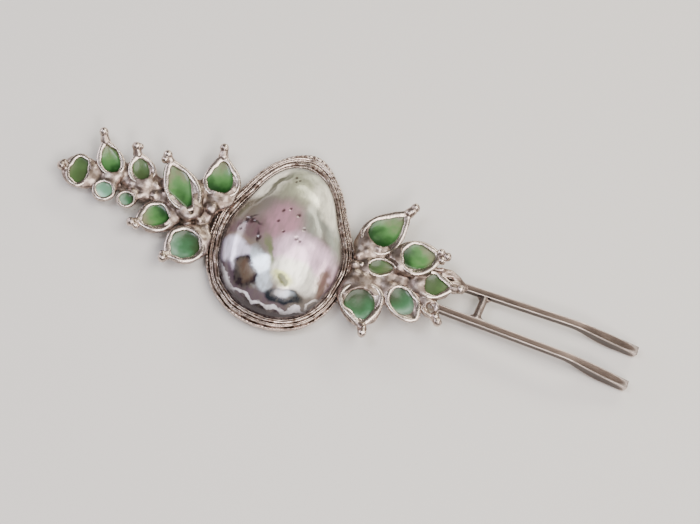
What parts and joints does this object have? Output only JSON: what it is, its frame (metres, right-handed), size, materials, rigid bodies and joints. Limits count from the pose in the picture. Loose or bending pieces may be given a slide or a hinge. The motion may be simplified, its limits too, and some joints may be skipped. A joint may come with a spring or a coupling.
{
  "type": "decorative hair comb",
  "caption": "Silver hair fork with a domed pearl in a pear-shaped bezel, branches of green enamelled leaf cups beside it, and long prongs joined by a crossbar.",
  "frame": {"origin": "on the rear face of the setting's back plate, on the fork's centre line", "axes": "+X along the comb towards the prong tips, +Y across it, towards the point of the pear, and +Z out of the show side"},
  "size_m": [0.1497, 0.0468, 0.0174],
  "materials": {
    "cast_silver": "cast and polished sterling silver, bright on the edges and darkened in the hollows",
    "forged_silver": "drawn and filed sterling silver wire, satin",
    "green_enamel": "fired enamel, deep green at the leaf's root and pale grey-green at its tip",
    "nacre": "polished silvery nacre with pink, cream and green overtones",
    "pearl_cement": "cast resin",
    "mother_of_pearl": "sawn and ground shell"
  },
  "bodies": {
    "root": {"back_plate": "cast_silver", "bezel_border": "cast_silver", "bezel_wall": "cast_silver", "crossbar": "forged_silver", "left_granule_1": "cast_silver", "left_granule_2": "cast_silver", "left_granule_3": "cast_silver", "left_leaf_1_bead": "cast_silver", "left_leaf_1_cup": "cast_silver", "left_leaf_1_enamel": "green_enamel", "left_leaf_2_bead": "cast_silver", "left_leaf_2_cup": "cast_silver", "left_leaf_2_enamel": "green_enamel", "left_leaf_3_bead": "cast_silver", "left_leaf_3_cup": "cast_silver", "left_leaf_3_enamel": "green_enamel", "left_leaf_4_bead": "cast_silver", "left_leaf_4_cup": "cast_silver", "left_leaf_4_enamel": "green_enamel", "left_leaf_5_bead": "cast_silver", "left_leaf_5_cup": "cast_silver", "left_leaf_5_enamel": "green_enamel", "left_leaf_6_cup": "cast_silver", "left_leaf_6_enamel": "green_enamel", "left_leaf_7_bead": "cast_silver", "left_leaf_7_cup": "cast_silver", "left_leaf_7_enamel": "green_enamel", "left_leaf_8_cup": "cast_silver", "left_leaf_8_enamel": "green_enamel", "left_leaf_9_bead": "cast_silver", "left_leaf_9_cup": "cast_silver", "left_leaf_9_enamel": "green_enamel", "left_stem": "cast_silver", "lip_wire": "cast_silver", "lower_prong": "forged_silver", "pearl": "nacre", "pearl_backing": "mother_of_pearl", "pearl_filler": "pearl_cement", "right_granule_1": "cast_silver", "right_leaf_1_bead": "cast_silver", "right_leaf_1_cup": "cast_silver", "right_leaf_1_enamel": "green_enamel", "right_leaf_2_bead": "cast_silver", "right_leaf_2_cup": "cast_silver", "right_leaf_2_enamel": "green_enamel", "right_leaf_3_cup": "cast_silver", "right_leaf_3_enamel": "green_enamel", "right_leaf_4_bead": "cast_silver", "right_leaf_4_cup": "cast_silver", "right_leaf_4_enamel": "green_enamel", "right_leaf_5_cup": "cast_silver", "right_leaf_5_enamel": "green_enamel", "right_leaf_6_bead": "cast_silver", "right_leaf_6_cup": "cast_silver", "right_leaf_6_enamel": "green_enamel", "right_leaf_7_bead": "cast_silver", "right_leaf_7_cup": "cast_silver", "right_leaf_7_enamel": "green_enamel", "right_stem": "cast_silver", "upper_prong": "forged_silver"}
  },
  "joints": []
}
